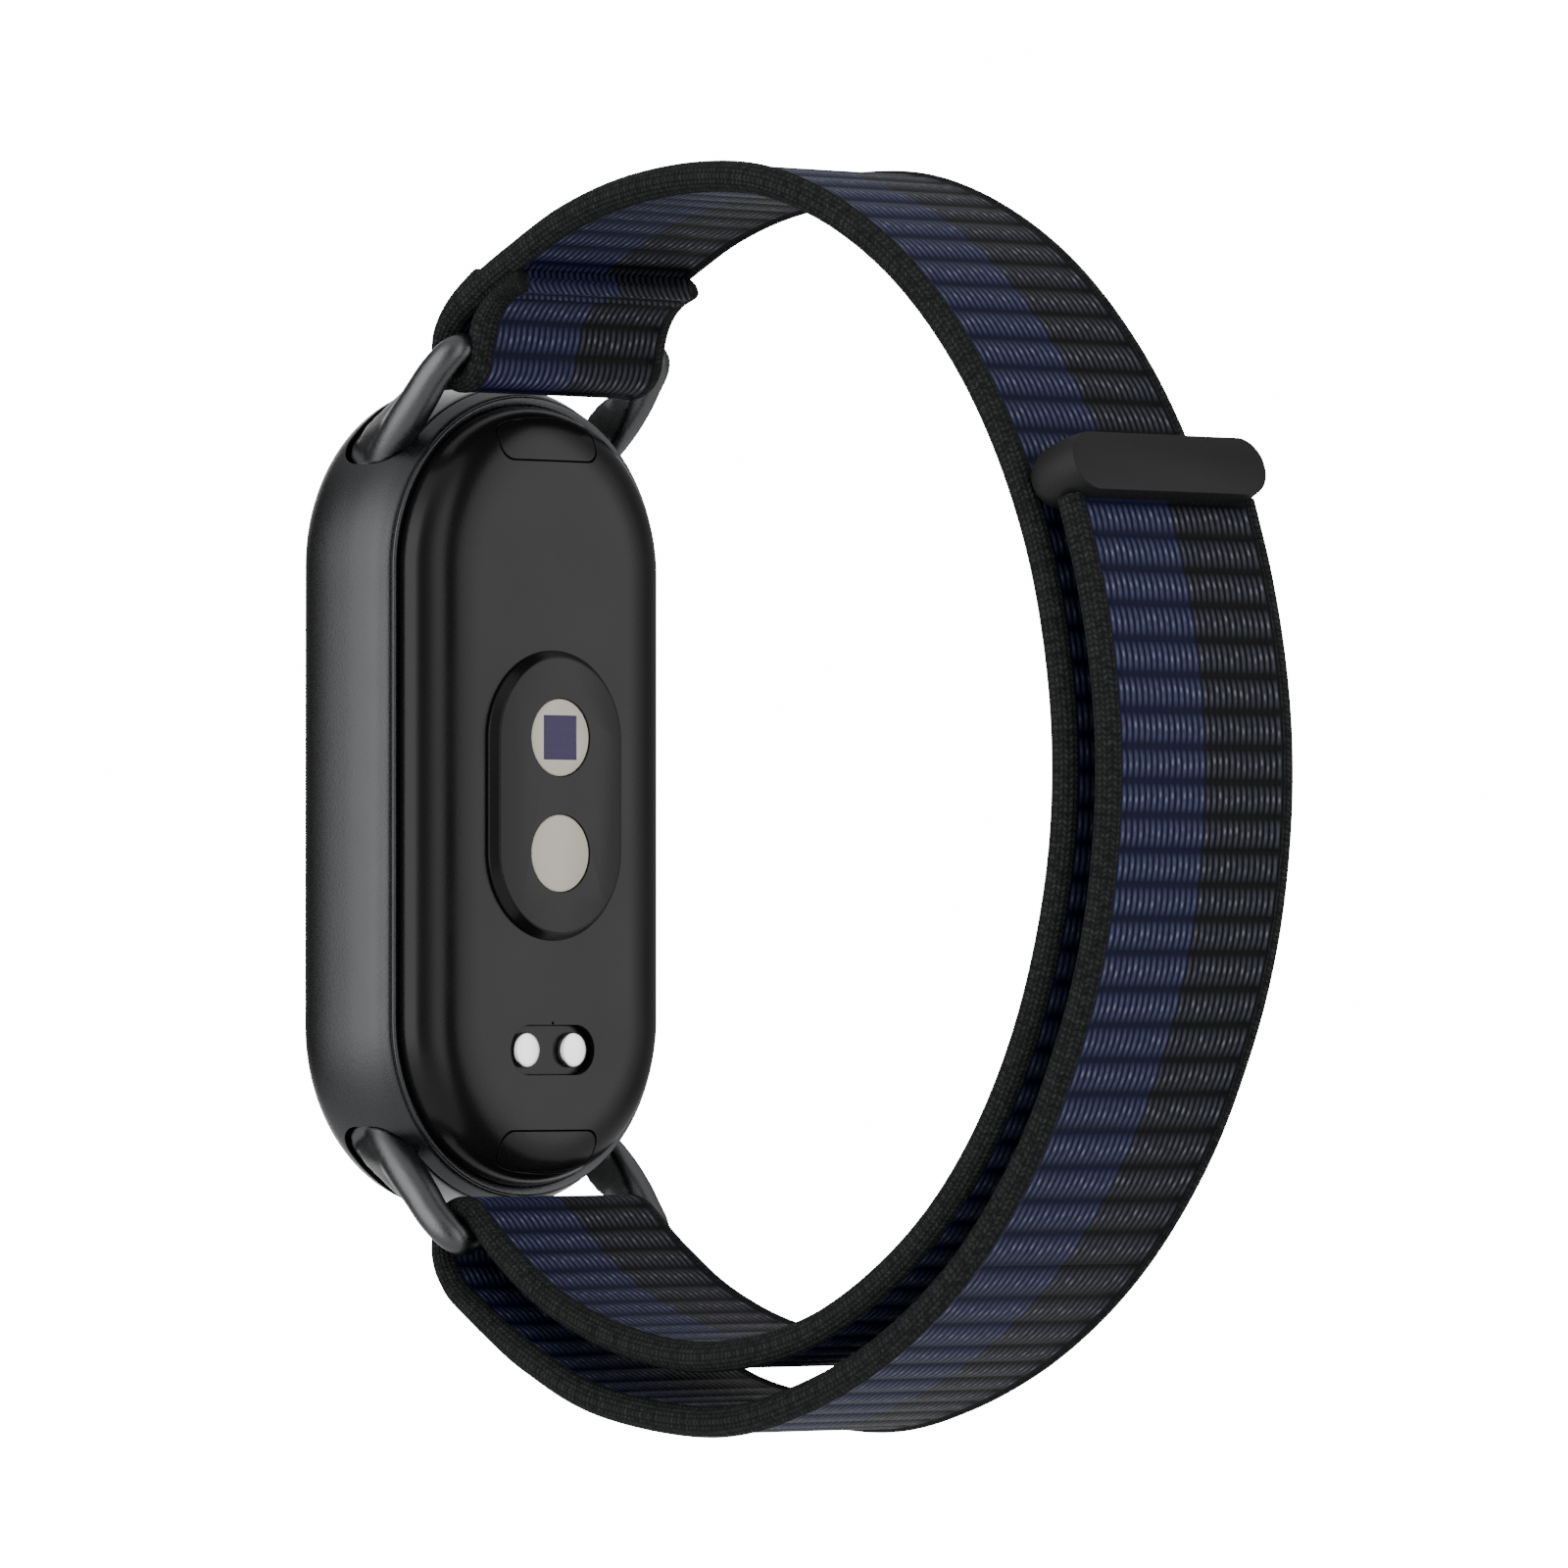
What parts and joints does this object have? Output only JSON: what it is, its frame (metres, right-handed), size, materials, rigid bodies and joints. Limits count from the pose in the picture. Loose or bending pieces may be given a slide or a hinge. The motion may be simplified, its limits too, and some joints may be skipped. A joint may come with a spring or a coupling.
{
  "type": "fitness tracker band",
  "caption": "Pill-shaped fitness tracker seen from its sensor side, on a two-tone woven strap with metal connectors, closed by a hook-and-loop tail with a moulded tab.",
  "frame": {"origin": "centre of the wrist opening, on the tracker's symmetry plane", "axes": "+X along the wrist, +Y away from the display through the wrist, +Z along the length of the case"},
  "size_m": [0.023, 0.0682, 0.076],
  "materials": {
    "satin_grey_aluminium": "satin, fine bead-blasted grain",
    "connector_metal": "satin",
    "cover_polymer": "fine matte",
    "black_glass": "polished",
    "seal": "matte",
    "display": "gloss",
    "flex_ribbon": "satin",
    "sensor_window": "diffusing, smooth",
    "circuit_board": "solder mask",
    "photodiode": "smooth",
    "green_chip": "smooth",
    "red_chip": "smooth",
    "contact_plating": "plated",
    "steel": "bright",
    "battery_foil": "foil",
    "chassis_plastic": "matte",
    "woven_strap": "woven, navy and black",
    "hook_tape": "moulded hooks",
    "tab_rubber": "fine matte"
  },
  "bodies": {
    "tracker": {"battery": "battery_foil", "board_screw_1": "steel", "board_screw_2": "steel", "board_screw_3": "steel", "board_screw_4": "steel", "case_frame": "satin_grey_aluminium", "chassis": "chassis_plastic", "contact_insert": "cover_polymer", "display_flex": "flex_ribbon", "display_panel": "display", "front_glass": "black_glass", "front_seal": "seal", "green_led": "green_chip", "left_charge_contact": "contact_plating", "lower_button_spring": "steel", "lower_sensor_window": "sensor_window", "main_board": "circuit_board", "photodiode": "photodiode", "rear_cover": "cover_polymer", "rear_seal": "seal", "red_led": "red_chip", "right_charge_contact": "contact_plating", "sensor_board": "circuit_board", "sensor_cover": "cover_polymer", "shield_can": "steel", "strap_back": "woven_strap", "strap_tail_root": "woven_strap", "upper_button_spring": "steel", "upper_sensor_window": "sensor_window", "vibration_motor": "steel"},
    "upper_connector_body": {"upper_connector": "connector_metal", "strap_upper": "woven_strap"},
    "lower_connector_body": {"lower_connector": "connector_metal", "strap_lower": "woven_strap"},
    "upper_button_body": {"upper_release_button": "cover_polymer", "upper_latch": "steel"},
    "lower_button_body": {"lower_release_button": "cover_polymer", "lower_latch": "steel"},
    "tail_middle_body": {"strap_tail_middle": "woven_strap"},
    "tail_end_body": {"strap_tail_end": "woven_strap", "hook_pad": "hook_tape", "end_tab": "tab_rubber"}
  },
  "joints": [
    {"name": "upper_release", "type": "slide", "parent": "tracker", "child": "upper_connector_body", "axis": [0, 0, 1], "range_m": [0, 0.002]},
    {"name": "lower_release", "type": "slide", "parent": "tracker", "child": "lower_connector_body", "axis": [0, 0, -1], "range_m": [0, 0.002]},
    {"name": "upper_button", "type": "slide", "parent": "tracker", "child": "upper_button_body", "axis": [0, -1, 0], "range_m": [0, 0.0006], "stiffness_N_per_m": 300, "springref_m": -0.0005},
    {"name": "lower_button", "type": "slide", "parent": "tracker", "child": "lower_button_body", "axis": [0, -1, 0], "range_m": [0, 0.0006], "stiffness_N_per_m": 300, "springref_m": -0.0005},
    {"name": "strap_peel", "type": "hinge", "parent": "tracker", "child": "tail_middle_body", "pos_m": [0, 0.02798, -0.01513], "axis": [-1, 0, 0], "range_deg": [0, 30]},
    {"name": "tail_curl", "type": "hinge", "parent": "tail_middle_body", "child": "tail_end_body", "pos_m": [0, 0.0312, 0.002], "axis": [-1, 0, 0], "range_deg": [0, 30]}
  ],
  "couplings": [
    {"joint": "upper_button", "follows": "upper_release", "ratio": 0.3},
    {"joint": "lower_button", "follows": "lower_release", "ratio": 0.3},
    {"joint": "tail_curl", "follows": "strap_peel", "ratio": 1}
  ]
}
